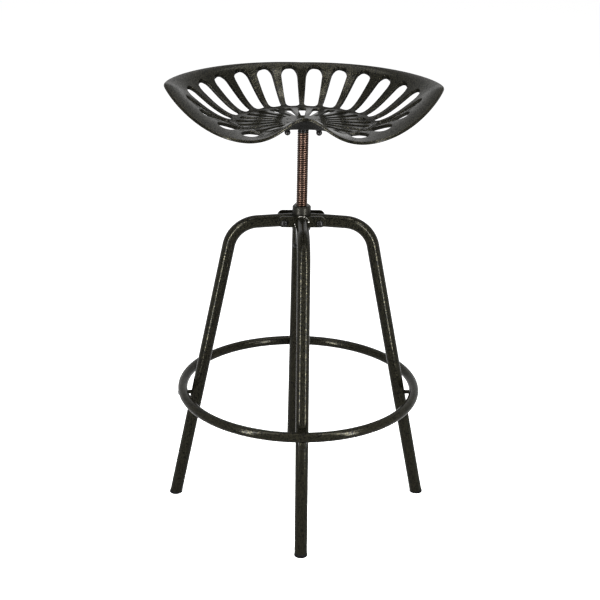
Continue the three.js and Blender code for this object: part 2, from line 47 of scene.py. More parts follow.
def deselect():
    bpy.ops.object.select_all(action="DESELECT")


def editMode():
    bpy.ops.object.mode_set(mode="EDIT")


def objectMode():
    bpy.ops.object.mode_set(mode="OBJECT")


def selectOnly(piece):
    deselect()
    piece.select_set(True)
    bpy.context.view_layer.objects.active = piece


def pick(kind, test):  # selects what passes the test, in edit mode
    bpy.ops.mesh.select_all(action="DESELECT")
    bpy.ops.mesh.select_mode(type=kind)
    shape = bmesh.from_edit_mesh(bpy.context.object.data)
    for item in {"VERT": shape.verts, "EDGE": shape.edges, "FACE": shape.faces}[kind]:
        item.select_set(bool(test(item)))
    shape.select_flush_mode()
    bmesh.update_edit_mesh(bpy.context.object.data)


def outward():  # closes doubles and turns the faces out, in edit mode
    bpy.ops.mesh.select_all(action="SELECT")
    bpy.ops.mesh.remove_doubles(threshold=closeBy)
    bpy.ops.mesh.normals_make_consistent(inside=False)


def modify(piece, kind, **settings):
    selectOnly(piece)
    bpy.ops.object.modifier_add(type=kind)
    modifier = piece.modifiers[-1]
    for name, value in settings.items():
        setattr(modifier, name, value)
    bpy.ops.object.modifier_apply(modifier=modifier.name)


def roundEdges(piece, width, segments=3, angle=35):
    modify(piece, "BEVEL", width=width * mm, segments=segments, limit_method="ANGLE",
           angle_limit=math.radians(angle), use_clamp_overlap=True, harden_normals=False)


def smooth(piece, angle=40):
    selectOnly(piece)
    bpy.ops.object.shade_smooth_by_angle(angle=math.radians(angle), keep_sharp_edges=False)
    modify(piece, "WEIGHTED_NORMAL", keep_sharp=True, weight=60)


def transformed(piece, matrix):
    piece.data.transform(matrix)
    piece.data.update()
    return piece


def readPoints(piece):
    points = np.zeros(len(piece.data.vertices) * 3)
    piece.data.vertices.foreach_get("co", points)
    return points.reshape(-1, 3)


def writePoints(piece, points):
    piece.data.vertices.foreach_set("co", np.asarray(points, float).ravel())
    piece.data.update()


def named(name, finish):
    piece = bpy.context.object
    piece.name = name
    piece.data.name = name
    piece.data.materials.clear()
    piece.data.materials.append(finish)
    return piece


def copied(piece, name, matrix=None):  # a copy with a mesh of its own
    selectOnly(piece)
    bpy.ops.object.duplicate(linked=False)
    twin = bpy.context.object
    twin.name = name
    twin.data.name = name
    if matrix is not None:
        transformed(twin, matrix)
    return twin


def turned(name, finish, profile, sides=48, solid=True):
    # a circle extruded and scaled from one station of the profile to the next, about Z
    deselect()
    radius, height = profile[0]
    bpy.ops.mesh.primitive_circle_add(vertices=sides, radius=radius * mm,
                                      fill_type="NGON" if solid else "NOTHING")
    editMode()
    bpy.ops.transform.translate(value=(0, 0, height * mm))
    for (lastRadius, lastHeight), (radius, height) in zip(profile, profile[1:]):
        step = (0, 0, (height - lastHeight) * mm)
        bpy.ops.mesh.extrude_region_move(TRANSFORM_OT_translate={"value": step})
        grow = radius / lastRadius
        bpy.ops.transform.resize(value=(grow, grow, 1), center_override=(0, 0, 0))
    outward()
    objectMode()
    return named(name, finish)


def joined(first, *others):
    selectOnly(first)
    for other in others:
        other.select_set(True)
    bpy.ops.object.join()
    return first


def turnZ(angle):
    return Matrix.Rotation(angle, 4, "Z")


def moveTo(x, y, z):
    return Matrix.Translation((x * mm, y * mm, z * mm))


zToFront = Matrix.Rotation(math.pi / 2, 4, "X")
zToRight = Matrix.Rotation(math.pi / 2, 4, "Y")


# shader maths

class Value:  # a number that changes over the surface
    def __init__(self, sheet, socket):
        self.sheet = sheet
        self.socket = socket

    def maths(self, operation, *others):
        values = [self, *others]
        return self.sheet.node("ShaderNodeMath", {"operation": operation}, dict(enumerate(values)))

    def __add__(self, other):
        return self.maths("ADD", other)

    def __sub__(self, other):
        return self.maths("SUBTRACT", other)

    def __rsub__(self, other):
        return self.sheet.node("ShaderNodeMath", {"operation": "SUBTRACT"}, {0: other, 1: self})

    def __mul__(self, other):
        return self.maths("MULTIPLY", other)

    def __pow__(self, other):
        return self.maths("POWER", other)

    __radd__ = __add__
    __rmul__ = __mul__

    def between(self, low, high):
        settings = {"interpolation_type": "SMOOTHSTEP", "clamp": True}
        return self.sheet.node("ShaderNodeMapRange", settings, {0: self, 1: low, 2: high, 3: 0.0, 4: 1.0})


class Sheet:  # the nodes of one material, or of the world
    def __init__(self, name, world=False):
        self.owner = (bpy.data.worlds if world else bpy.data.materials).new(name)
        self.output = "ShaderNodeOutputWorld" if world else "ShaderNodeOutputMaterial"
        self.owner.use_nodes = True
        self.tree = self.owner.node_tree
        self.tree.nodes.clear()

    def node(self, kind, settings=None, values=None, output=0):
        node = self.tree.nodes.new(kind)
        for name, value in (settings or {}).items():
            setattr(node, name, value)
        for name, value in (values or {}).items():
            if isinstance(value, Value):
                self.tree.links.new(value.socket, node.inputs[name])
            else:
                node.inputs[name].default_value = value
        return None if output is None else Value(self, node.outputs[output])

    def place(self, stretch=(1, 1, 1)):
        here = self.node("ShaderNodeTexCoord", output="Object")
        return self.node("ShaderNodeMapping", None, {"Vector": here, "Scale": stretch})

    def noise(self, scale, detail=2, rough=0.5, stretch=(1, 1, 1)):
        return self.node("ShaderNodeTexNoise", None, {
            "Vector": self.place(stretch), "Scale": scale, "Detail": detail, "Roughness": rough})

    def cells(self, scale, smoothness=0.6):
        return self.node("ShaderNodeTexVoronoi", {"feature": "SMOOTH_F1"}, {
            "Vector": self.place(), "Scale": scale, "Smoothness": smoothness})

    def mix(self, share, low, high):
        low, high = [c if isinstance(c, Value) else (*c, 1) for c in (low, high)]
        return self.node("ShaderNodeMix", {"data_type": "RGBA"}, {0: share, 6: low, 7: high}, output=2)

    def bump(self, height, distance, strength):
        return self.node("ShaderNodeBump", None, {"Height": height, "Distance": distance, "Strength": strength})

    def surface(self, values):
        return self.finish(self.node("ShaderNodeBsdfPrincipled", None, values))

    def finish(self, shader):
        self.node(self.output, None, {"Surface": shader}, output=None)
        return self.owner


def hammeredEnamel(name, dark, fleck, fleckShare=1, even=0, rough=0.09):
    sheet = Sheet(name)
    dimples = sheet.cells(520)
    fine = sheet.noise(900, 2)
    patches = sheet.noise(14, 3)
    mattShade = sheet.node("ShaderNodeAttribute", {"attribute_name": "mattShade"}, output="Fac")
    # the underside is rougher and loses its flecks, which also paints it darker as shade under the pan
    flecks = even + (1 - even) * dimples.between(0.66, 0.2) * fine.between(0.2, 0.6)
    flecks = flecks * fleckShare * (1 - mattShade)
    colour = sheet.mix(flecks, dark, fleck)
    height = dimples.between(0.0, 0.6) + 0.3 * fine
    return sheet.surface({
        "Base Color": colour, "Metallic": flecks, "Specular IOR Level": 0.055,
        "Roughness": rough + 0.08 * fine + 0.05 * patches + 0.55 * mattShade,
        "Normal": sheet.bump(height, 0.04 * mm, 0.7)})


def blackHardware(name):
    sheet = Sheet(name)
    grime = sheet.noise(160, 3)
    fine = sheet.noise(1400, 2)
    colour = sheet.mix(grime.between(0.35, 0.7), (0.0035, 0.0035, 0.0035), (0.01, 0.0095, 0.009))
    return sheet.surface({
        "Base Color": colour, "Roughness": 0.14 + 0.16 * grime, "Specular IOR Level": 0.13,
        "Normal": sheet.bump(fine, 0.04 * mm, 0.4)})


def copperySteel(name, paintFrom, shadeBelow, root, crest):
    sheet = Sheet(name)
    here = sheet.node("ShaderNodeTexCoord", output="Object")
    split = sheet.node("ShaderNodeSeparateXYZ", None, {0: here})
    x, y, z = [Value(sheet, split.socket.node.outputs[axis]) for axis in "XYZ"]
    reach = (x * x + y * y) ** 0.5
    stain = sheet.noise(70, 4, 0.6)
    streak = sheet.noise(240, 3, 0.5, (1, 1, 0.25))
    steel = sheet.mix(stain.between(0.3, 0.7), (0.038, 0.022, 0.0155), (0.07, 0.044, 0.033))
    steel = sheet.mix(streak.between(0.45, 0.75) * 0.5, steel, (0.022, 0.011, 0.008))
    # painted shade: the steel darkens from the crests down into the thread's roots
    steel = sheet.mix(1 - reach.between(root * mm, crest * mm), steel, (0.006, 0.004, 0.0035))
    # black paint on the top, where it runs down from the plate, and black on the lower end under the collar as
    # painted shade
    paintAndShade = (z + (stain - 0.5) * (6 * mm)).between((paintFrom - 1) * mm, (paintFrom + 1) * mm)
    paintAndShade = paintAndShade.maths("MAXIMUM", 1 - z.between((shadeBelow - 1) * mm, (shadeBelow + 1) * mm))
    colour = sheet.mix(paintAndShade, steel, (0.004, 0.004, 0.0035))
    return sheet.surface({
        "Base Color": colour, "Metallic": 0.85 - 0.85 * paintAndShade, "Specular IOR Level": 0.1,
        "Roughness": 0.22 + 0.2 * stain, "Normal": sheet.bump(streak, 0.05 * mm, 0.4)})


def blackPlastic(name):
    sheet = Sheet(name)
    grain = sheet.noise(2200, 2)
    scuff = sheet.noise(60, 4, 0.65)
    colour = sheet.mix(scuff.between(0.55, 0.8), (0.002, 0.002, 0.002), (0.006, 0.0058, 0.0054))
    return sheet.surface({
        "Base Color": colour, "Roughness": 0.42 + 0.2 * scuff, "Specular IOR Level": 0.07,
        "Normal": sheet.bump(grain, 0.05 * mm, 0.5)})


def glintedWeld(name):  # painted beads with bright metal specks laid by noise, which are painted highlights
    sheet = Sheet(name)
    spatter = sheet.noise(420, 2, 0.6)
    # bright metal specks where the noise falls in a narrow band: painted highlights on the beads
    paintedGlint = spatter.between(0.42, 0.52)
    return sheet.surface({
        "Base Color": sheet.mix(paintedGlint, (0.003, 0.003, 0.0025), (0.42, 0.41, 0.37)), "Metallic": paintedGlint,
        "Specular IOR Level": 0.055, "Roughness": 0.22 + 0.2 * spatter,
        "Normal": sheet.bump(spatter, 0.2 * mm, 0.6)})


enamel = hammeredEnamel("hammeredEnamel", (0.0015, 0.0015, 0.0011), (0.029, 0.027, 0.018))
smoothEnamel = hammeredEnamel("smoothEnamel", (0.0015, 0.0015, 0.0011), (0.026, 0.025, 0.021), 0.8, 0.6, 0.26)
weldEnamel = glintedWeld("weldEnamel")
hardware = blackHardware("blackHardware")
spindleSteel = copperySteel("spindleSteel", 722.5, 570, 7.9, 9.7)
capPlastic = blackPlastic("capPlastic")
print("materials ready")

# the sizes that several pieces share, in millimetres

leg = {"tube": 23.4, "wall": 1.5, "reach": 235.3, "lean": math.radians(11.43),
       "droop": math.radians(4), "bend": 57, "arm": 561.2, "sides": 40, "bendSteps": 22, "gap": 0.3,
       "start": 14, "coping": 2.5, "footCut": 4.5}
hub = {"collar": 33.5, "above": 26.3, "below": 19.2, "chamfer": 2.5, "bore": 20.6,
       "plateHeight": 20.5, "plateLift": 0.3, "plate": 4, "boltReach": 32, "boltEdge": 11.5,
       "bolt": 7.6, "boltShown": 1.9, "head": 13, "headHeight": 4.5, "nut": 12, "nutHeight": 6,
       "spacer": 12.4}
ring = {"height": 228.7, "tube": 18.2, "standoff": 9, "bolt": 7.4, "head": 14.5, "headHeight": 4,
        "bite": 9, "lug": 15, "lugLength": 11, "lugSink": 2.8, "lugMiddle": 1.5, "steps": 160, "sides": 32}
legTurns = {"right": 0, "rear": math.pi / 2, "left": math.pi, "front": -math.pi / 2}
collarTop = leg["arm"] + hub["above"]
collarBottom = leg["arm"] - hub["below"]
plateInner = hub["collar"] / 2 + leg["gap"]
plateOuter = plateInner + hub["plate"]
seatTurn = math.radians(-0.8)


def legReachAt(height):
    return leg["reach"] - height * math.tan(leg["lean"])


legHalf = leg["tube"] / 2 / math.cos(leg["lean"])
ringRadius = legReachAt(ring["height"]) + legHalf + ring["standoff"] + ring["tube"] / 2
lugHeight = ring["height"] - ring["tube"] / 2 - ring["lug"] / 2 + ring["lugSink"]


# legs: a circle extruded along the arm, spun round the bend and extruded to the foot

def bentLeg(name, innerPlace):
    lean, droop = leg["lean"], leg["droop"]
    corner = (leg["arm"] - leg["reach"] / math.tan(lean)) / (math.tan(droop) - 1 / math.tan(lean))
    cornerHeight = leg["arm"] - corner * math.tan(droop)
    turn = math.pi / 2 - lean - droop
    tangent = leg["bend"] * math.tan(turn / 2)
    arm = Vector((math.cos(droop), 0, -math.sin(droop)))
    shin = Vector((math.sin(lean), 0, -math.cos(lean)))
    bendStart = Vector((corner, 0, cornerHeight)) - arm * tangent
    bendEnd = Vector((corner, 0, cornerHeight)) + shin * tangent
    centre = bendStart + Vector((-math.sin(droop), 0, -math.cos(droop))) * leg["bend"]
    foot = Vector((leg["reach"], 0, 0)) - shin * leg["footCut"]
    root = Vector((0, 0, leg["arm"]))
    start = root + arm * (leg["start"] / math.cos(droop))
    deselect()
    bpy.ops.mesh.primitive_circle_add(vertices=leg["sides"], radius=leg["tube"] / 2 * mm, fill_type="NOTHING",
                                      rotation=(0, math.pi / 2 + droop, 0), location=start * mm)
    bpy.ops.object.transform_apply(location=True, rotation=True, scale=True)
    editMode()
    bpy.ops.mesh.select_all(action="SELECT")
    bpy.ops.mesh.extrude_region_move(TRANSFORM_OT_translate={"value": (bendStart - start) * mm})
    bpy.ops.mesh.spin(steps=leg["bendSteps"], angle=-turn, center=centre * mm, axis=(0, 1, 0))
    bpy.ops.mesh.extrude_region_move(TRANSFORM_OT_translate={"value": (foot - bendEnd) * mm})
    outward()
    objectMode()
    piece = named(name, enamel)
    points = readPoints(piece)
    inner = points[:, 0] < points[:, 0].min() + leg["coping"] * mm  # coped on what it is welded to
    points[inner, 2] -= (innerPlace(points[inner, 1] / mm) * mm - points[inner, 0]) * math.tan(droop)
    points[inner, 0] = innerPlace(points[inner, 1] / mm) * mm
    writePoints(piece, points)
    modify(piece, "SOLIDIFY", thickness=leg["wall"] * mm, offset=-1, use_even_offset=True)
    smooth(piece)
    return piece


sideLeg = bentLeg("right_leg_tube", lambda across: np.sqrt(plateInner ** 2 - across ** 2))
endLeg = bentLeg("rear_leg_tube", lambda across: np.full_like(across, plateOuter + leg["gap"]))
transformed(endLeg, turnZ(legTurns["rear"]))
legPieces = {"right": sideLeg, "rear": endLeg,
             "left": copied(sideLeg, "left_leg_tube", turnZ(math.pi)),
             "front": copied(endLeg, "front_leg_tube", turnZ(math.pi))}
for side, piece in legPieces.items():
    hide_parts(f"{side}_leg")
    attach(piece, "base")
print("legs done")

# foot ring: a circle spun once round

deselect()
bpy.ops.mesh.primitive_circle_add(vertices=ring["sides"], radius=ring["tube"] / 2 * mm, fill_type="NOTHING",
                                  rotation=(math.pi / 2, 0, 0), location=(ringRadius * mm, 0, ring["height"] * mm))
bpy.ops.object.transform_apply(location=True, rotation=True, scale=True)
editMode()
bpy.ops.mesh.select_all(action="SELECT")
bpy.ops.mesh.spin(steps=ring["steps"], angle=2 * math.pi, center=(0, 0, ring["height"] * mm), axis=(0, 0, 1))
outward()
objectMode()
footRing = named("foot_ring_tube", enamel)
smooth(footRing)
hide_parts("foot_ring")
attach(footRing, "base")


def domeBolt(name, finish, shank, head, headHeight, tail):
    # along +Z, the head's seat at 0, with a thin washer face under the dome
    dome = [(head / 2 * math.cos(a), headHeight * (0.14 + 0.86 * math.sin(a)))
            for a in np.linspace(0, math.pi / 2, 9)[:-1]]
    tip, lip, crown = 0.7, 0.3, 0.4
    profile = [(shank / 2 - tip, -tail), (shank / 2, -tail + tip), (shank / 2, 0), (head / 2 - lip, 0),
               (head / 2, 0.1 * headHeight), *dome[1:], (crown, headHeight)]
    piece = turned(name, finish, profile, 40)
    smooth(piece, 45)
    return piece


# lugs under the ring, sunk into it, and the bolts through them into the legs

lugPiece = turned("right_lug", enamel, [
    (ring["lug"] / 2, -ring["lugLength"] / 2), (ring["lug"] / 2, -ring["lugMiddle"]),
    (ring["lug"] / 2, ring["lugMiddle"]),
    (ring["lug"] / 2, ring["lugLength"] / 2)], 48)
roundEdges(lugPiece, 0.7)
transformed(lugPiece, moveTo(ringRadius, 0, lugHeight) @ zToRight)
smooth(lugPiece)
boltSeat = ringRadius + ring["lugLength"] / 2 + leg["gap"]
boltTip = legReachAt(lugHeight) + legHalf - ring["bite"]
ringBolt = domeBolt("right_lug_bolt", enamel, ring["bolt"], ring["head"], ring["headHeight"], boltSeat - boltTip)
transformed(ringBolt, moveTo(boltSeat, 0, lugHeight) @ zToRight)
for side, turn in legTurns.items():
    if side == "right":
        pair = (lugPiece, ringBolt)
    else:
        pair = (copied(lugPiece, f"{side}_lug", turnZ(turn)), copied(ringBolt, f"{side}_lug_bolt", turnZ(turn)))
    for piece, node, slot in zip(pair, ("ring_lug", "ring_bolt"), ("hammered_enamel", "black_hardware")):
        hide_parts(f"{side}_{node}")
        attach(piece, "base")
print("foot ring done")

# foot caps: a flange under the tube and a plug in it, cut flat on the floor

cap = {"flange": 24.2, "height": leg["footCut"], "plug": 20, "taper": 3, "overrun": 6}
plugRadius = leg["tube"] / 2 - leg["wall"] - leg["gap"]
footCap = turned("right_cap", capPlastic, [
    (cap["flange"] / 2, -cap["height"] - cap["overrun"]), (cap["flange"] / 2, -1.1),
    (cap["flange"] / 2 - 0.25, -0.55), (cap["flange"] / 2 - 0.8, -leg["gap"]),
    (plugRadius, -leg["gap"]), (plugRadius, cap["plug"] - cap["taper"]),
    (plugRadius - cap["taper"], cap["plug"])], 56)
shinWay = Vector((math.sin(leg["lean"]), 0, -math.cos(leg["lean"])))
capSeat = Vector((leg["reach"], 0, 0)) - shinWay * cap["height"]
transformed(footCap, moveTo(*capSeat) @ Matrix.Rotation(-leg["lean"], 4, "Y"))
selectOnly(footCap)
editMode()
bpy.ops.mesh.select_all(action="SELECT")
bpy.ops.mesh.bisect(plane_co=(0, 0, 0), plane_no=(0, 0, 1), clear_inner=True, use_fill=True)
outward()
objectMode()
roundEdges(footCap, 0.5)
smooth(footCap)
capPieces = {side: footCap if side == "right" else copied(footCap, f"{side}_cap", turnZ(turn))
             for side, turn in legTurns.items()}
for side, piece in capPieces.items():
    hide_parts(f"{side}_foot_cap")
    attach(piece, "base")
print("foot caps done")

# hub: collar, clamp plates, bolts, nuts, spacers and the welds of the end legs

collar = turned("collar", smoothEnamel, [
    (hub["bore"] / 2, collarBottom), (hub["collar"] / 2, collarBottom),
    (hub["collar"] / 2, collarTop - hub["chamfer"]), (hub["collar"] / 2 - hub["chamfer"], collarTop),
    (hub["bore"] / 2, collarTop), (hub["bore"] / 2, collarBottom)], 72, solid=False)
roundEdges(collar, 0.5, 3, 30)
smooth(collar, 30)


def stadium(name, finish, length, height, depth, sides=64):
    # a short cylinder whose halves are moved apart
    deselect()
    bpy.ops.mesh.primitive_cylinder_add(vertices=sides, radius=height / 2 * mm, depth=depth * mm)
    editMode()
    for way in (-1, 1):
        pick("VERT", lambda vertex: vertex.co.x * way > 0.01 * mm)
        bpy.ops.transform.translate(value=(way * (length - height) / 2 * mm, 0, 0))
    outward()
    objectMode()
    return named(name, finish)


plateLength = 2 * (hub["boltReach"] + hub["boltEdge"])
frontPlate = stadium("front_clamp", enamel, plateLength, hub["plateHeight"], hub["plate"])
roundEdges(frontPlate, 0.7)
plateCentre = leg["arm"] + hub["plateLift"]
transformed(frontPlate, moveTo(0, -(plateInner + plateOuter) / 2, plateCentre) @ zToFront)
smooth(frontPlate)
rearPlate = copied(frontPlate, "rear_clamp", turnZ(math.pi))


def hexNut(name, finish, across, height, bore):
    # six sides, its corners turned down at both ends, bored
    deselect()
    bpy.ops.mesh.primitive_cylinder_add(vertices=6, radius=across / math.sqrt(3) * mm, depth=height * mm)
    roundEdges(bpy.context.object, 0.45, 2, 20)
    nut = named(name, finish)
    if bore:
        deselect()
        bpy.ops.mesh.primitive_cylinder_add(vertices=40, radius=bore / 2 * mm, depth=3 * height * mm)
        drill = bpy.context.object
        modify(nut, "BOOLEAN", object=drill, operation="DIFFERENCE", solver="EXACT")
        bpy.data.objects.remove(drill)
    smooth(nut, 30)
    return nut


hubBoltHeight = leg["arm"] - hub["boltReach"] * math.tan(leg["droop"])
boltFront = -plateOuter - leg["gap"]
boltTail = 2 * plateOuter + 2 * leg["gap"] + hub["nutHeight"] + hub["boltShown"]
leftBolt = domeBolt("left_clamp_bolt", hardware, hub["bolt"], hub["head"], hub["headHeight"], boltTail)
transformed(leftBolt, moveTo(-hub["boltReach"], boltFront, hubBoltHeight) @ zToFront)
leftNut = hexNut("left_clamp_nut", hardware, hub["nut"], hub["nutHeight"], hub["bolt"])
nutPlace = moveTo(-hub["boltReach"], plateOuter + leg["gap"] + hub["nutHeight"] / 2, hubBoltHeight)
transformed(leftNut, nutPlace @ zToFront)
leftSpacer = turned("left_clamp_spacer", hardware, [
    (hub["bolt"] / 2, -plateInner), (hub["spacer"] / 2, -plateInner), (hub["spacer"] / 2, plateInner),
    (hub["bolt"] / 2, plateInner), (hub["bolt"] / 2, -plateInner)], 40, solid=False)
transformed(leftSpacer, moveTo(-hub["boltReach"], 0, hubBoltHeight) @ zToFront)
smooth(leftSpacer)
across = Matrix.Translation((2 * hub["boltReach"] * mm, 0, 0))
hubPieces = [(collar, "hub_collar", "hammered_enamel"), (frontPlate, "front_plate", "hammered_enamel"),
             (rearPlate, "rear_plate", "hammered_enamel")]
for piece, node in ((leftBolt, "hub_bolt"), (leftNut, "hub_nut"), (leftSpacer, "hub_spacer")):
    hubPieces.append((piece, f"left_{node}", "black_hardware"))
    twin = copied(piece, piece.name.replace("left", "right"), across)
    hubPieces.append((twin, f"right_{node}", "black_hardware"))
for piece, node, slot in hubPieces:
    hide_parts(node)
    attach(piece, "base")


def weldBead(name, finish, radius, size, sweep, ripples, body):
    # a small circle spun part or all of the way round Z, then rippled and thinned at open ends
    isOpen = sweep < 2 * math.pi
    deselect()
    bpy.ops.mesh.primitive_circle_add(vertices=14, radius=size * mm, fill_type="NGON" if isOpen else "NOTHING",
                                      rotation=(math.pi / 2, 0, 0), location=(radius * mm, 0, 0))
    bpy.ops.object.transform_apply(location=True, rotation=True, scale=True)
    editMode()
    bpy.ops.mesh.select_all(action="SELECT")
    bpy.ops.mesh.spin(steps=ripples * 5, angle=sweep, center=(0, 0, 0), axis=(0, 0, 1))
    outward()
    objectMode()
    piece = named(name, finish)
    points = readPoints(piece)
    angle = np.arctan2(points[:, 1], points[:, 0]) % (2 * math.pi)
    centre = np.stack([np.cos(angle), np.sin(angle), 0 * angle], 1) * radius * mm
    ripple = 1 + 0.13 * np.abs(np.sin(angle / sweep * ripples * math.pi)) + 0.05 * np.sin(angle * 7 + radius)
    if isOpen:
        ends = np.minimum(angle, np.maximum(sweep - angle, 0)) / sweep
        ripple *= 0.35 + 0.65 * np.clip(ends * 7, 0, 1) ** 0.5
    writePoints(piece, centre + (points - centre) * ripple[:, None])
    smooth(piece, 60)
    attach(piece, body)
    return piece


# two welds on the sides of each end leg, where it meets its plate
weld = {"out": 1, "size": 2.5, "sweep": math.radians(118), "ripples": 13, "proud": 0.5}
weldHeight = leg["arm"] - plateOuter * math.tan(leg["droop"])
for way, place in (("front", -1), ("rear", 1)):
    for hand, middle in (("right", 0), ("left", math.pi)):
        bead = weldBead(f"{way}_{hand}_weld", weldEnamel, leg["tube"] / 2 + weld["out"], weld["size"],
                        weld["sweep"], weld["ripples"], "base")
        transformed(bead, moveTo(0, place * (plateOuter + weld["proud"]), weldHeight) @ zToFront
                    @ turnZ(middle - weld["sweep"] / 2))
print("hub done")

# spindle: a trapezoid thread profile screwed up its length

thread = {"major": 20, "minor": 16.6, "pitch": 4, "crest": 2.1, "root": 0.6, "steps": 40,
          "corner": 0.25, "cornerWide": 0.12,
          "top": collarTop + 145.8, "end": collarBottom - 30, "chamfer": 1.5}
plateBottom = thread["top"]


def spindlePiece():
    crest, root, pitch = thread["crest"], thread["root"], thread["pitch"]
    flank = (pitch - crest - root) / 2
    major, minor = thread["major"] / 2, thread["minor"] / 2
    corner, wide = thread["corner"], thread["cornerWide"]
    chain = [(minor, 0), (minor, root), (major - corner, root + flank * 0.9), (major, root + flank + wide),
             (major, root + flank + crest - wide), (major - corner, root + flank + crest + flank * 0.1),
             (minor, pitch)]
    bottom = thread["end"] - 2 * pitch
    deselect()
    bpy.ops.mesh.primitive_circle_add(vertices=3, radius=mm, fill_type="NOTHING")
    editMode()
    pick("VERT", lambda vertex: vertex.index < 2)
    bpy.ops.mesh.delete(type="VERT")
    bpy.ops.mesh.select_all(action="SELECT")
    shape = bmesh.from_edit_mesh(bpy.context.object.data)
    for vertex in shape.verts:
        vertex.co = (chain[0][0] * mm, 0, (bottom + chain[0][1]) * mm)
    bmesh.update_edit_mesh(bpy.context.object.data)
    for (r0, z0), (r1, z1) in zip(chain, chain[1:]):
        bpy.ops.mesh.extrude_region_move(TRANSFORM_OT_translate={"value": ((r1 - r0) * mm, 0, (z1 - z0) * mm)})
    objectMode()
    piece = named("threaded_spindle", spindleSteel)
    turns = math.ceil((thread["top"] - bottom) / pitch) + 1
    modify(piece, "SCREW", axis="Z", angle=2 * math.pi, screw_offset=pitch * mm, iterations=turns,
           steps=thread["steps"], render_steps=thread["steps"], use_merge_vertices=False)
    selectOnly(piece)
    editMode()
    outward()
    for height, side in ((thread["end"], {"clear_inner": True}),
                         (thread["top"] - leg["gap"], {"clear_outer": True})):
        bpy.ops.mesh.select_all(action="SELECT")
        bpy.ops.mesh.bisect(plane_co=(0, 0, height * mm), plane_no=(0, 0, 1), use_fill=True, **side)
    outward()
    objectMode()
    points = readPoints(piece)
    reach = np.hypot(points[:, 0], points[:, 1])
    room = (major - thread["chamfer"]) * mm + np.maximum(points[:, 2] - thread["end"] * mm, 0)
    shrink = np.where(reach > room, room / np.maximum(reach, 1e-9), 1)
    points[:, :2] *= shrink[:, None]
    writePoints(piece, points)
    smooth(piece, 28)
    return piece


spindle = spindlePiece()
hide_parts("spindle")
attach(spindle, "seat")
stop = {"washer": 30, "thick": 3, "screw": 8, "head": 16, "headHeight": 5, "grip": 14}
washerTop = thread["end"] - leg["gap"]
washer = turned("stop_disc", hardware, [
    (stop["screw"] / 2 + 0.3, washerTop - stop["thick"]), (stop["washer"] / 2, washerTop - stop["thick"]),
    (stop["washer"] / 2, washerTop), (stop["screw"] / 2 + 0.3, washerTop),
    (stop["screw"] / 2 + 0.3, washerTop - stop["thick"])], 64, solid=False)
roundEdges(washer, 0.4)
smooth(washer)
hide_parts("stop_washer")
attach(washer, "end_stop")
stopTail = stop["grip"] + stop["thick"]
stopScrew = domeBolt("stop_bolt", hardware, stop["screw"], stop["head"], stop["headHeight"], stopTail)
transformed(stopScrew, moveTo(0, 0, washerTop - stop["thick"] - leg["gap"]) @ Matrix.Rotation(math.pi, 4, "X"))
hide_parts("stop_screw")
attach(stopScrew, "seat")
topWeld = {"out": 0.6, "size": 1.9, "ripples": 26, "drop": 0.7}
plateWeld = weldBead("plate_weld", weldEnamel, thread["major"] / 2 + topWeld["out"], topWeld["size"],
                     2 * math.pi, topWeld["ripples"], "seat")
transformed(plateWeld, moveTo(0, 0, plateBottom - topWeld["drop"]))
print("spindle done")

# seat plate, its bolts and cap nuts

seatPlate = {"wide": 76, "deep": 44, "corner": 10, "thick": 4.2, "boltEdge": 10, "bolt": 6, "head": 12,
             "headHeight": 3.2, "sink": 0.2, "nut": 11, "nutHeight": 7, "nutDome": 6.6, "play": 0.3}
deselect()
bpy.ops.mesh.primitive_cylinder_add(vertices=56, radius=seatPlate["corner"] * mm, depth=seatPlate["thick"] * mm,
                                    rotation=(0, 0, math.pi / 56))
bpy.ops.object.transform_apply(location=True, rotation=True, scale=True)
editMode()
cornerX = (seatPlate["wide"] / 2 - seatPlate["corner"]) * mm
cornerY = (seatPlate["deep"] / 2 - seatPlate["corner"]) * mm
for way in (-1, 1):
    pick("VERT", lambda vertex: vertex.co.x * way > 0)
    bpy.ops.transform.translate(value=(way * cornerX, 0, 0))
    pick("VERT", lambda vertex: vertex.co.y * way > 0)
    bpy.ops.transform.translate(value=(0, way * cornerY, 0))
outward()
objectMode()
plate = named("under_plate", enamel)
roundEdges(plate, 0.6)
transformed(plate, turnZ(seatTurn) @ moveTo(0, 0, plateBottom + seatPlate["thick"] / 2))
smooth(plate)
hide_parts("seat_plate")
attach(plate, "seat")

pan = {"halfWidth": 244.5, "back": 185, "lobe": 162.8, "lobeSide": 85, "pommel": 124, "cornerForward": 16.8,
       "handles": (0.696, 0.282, 0.1, 0.616, 0.41, 0.18), "wall": 5, "wallAt": (0, 0.3, 0.75, 1),
       "walls": (5, 6.4, 5.4, 3.2), "backWall": 2,
       "backWallAt": (0.5, 0.8, 0.93, 1), "backWallShares": (0, 1, 1, 0), "steepest": 3, "dishDrop": 2,
       "rises": (68.2, 70.9, 7.4, 3.4), "turnPower": 0.23, "powers": (1.22, 1.3, 0.54, 0.54),
       "margins": (10.3, 34, 29.2, 29.2), "starts": (116.2, 130.6, 122, 122), "rollWidth": 3, "rollDrop": 2.7,
       "ridgeRise": 34.5, "ridgeWidth": 47.6, "ridgeStart": 36, "hubFlat": 42.463, "hubFoot": 103.463,
       "sweepInner": 0.814, "sweepOuter": 0.856, "rib": 5.8, "ribEnd": 20.5, "slotCorners": (9, 12.8),
       "band": 11, "thin": (6.5, 15.5), "thinCorners": (2.2, 3.5), "edge": 1.5, "slots": 10,
       "turnLead": 0.02, "edgeShares": (1, 0.55, 0.33)}
panTop = plateBottom + seatPlate["thick"] + leg["gap"] + pan["wall"]
dishLow = panTop - pan["dishDrop"]
boltSide = seatPlate["wide"] / 2 - seatPlate["boltEdge"]
boltReach = seatPlate["deep"] / 2 - seatPlate["boltEdge"]
nutTop = plateBottom - leg["gap"]
boltTop = panTop - seatPlate["sink"]


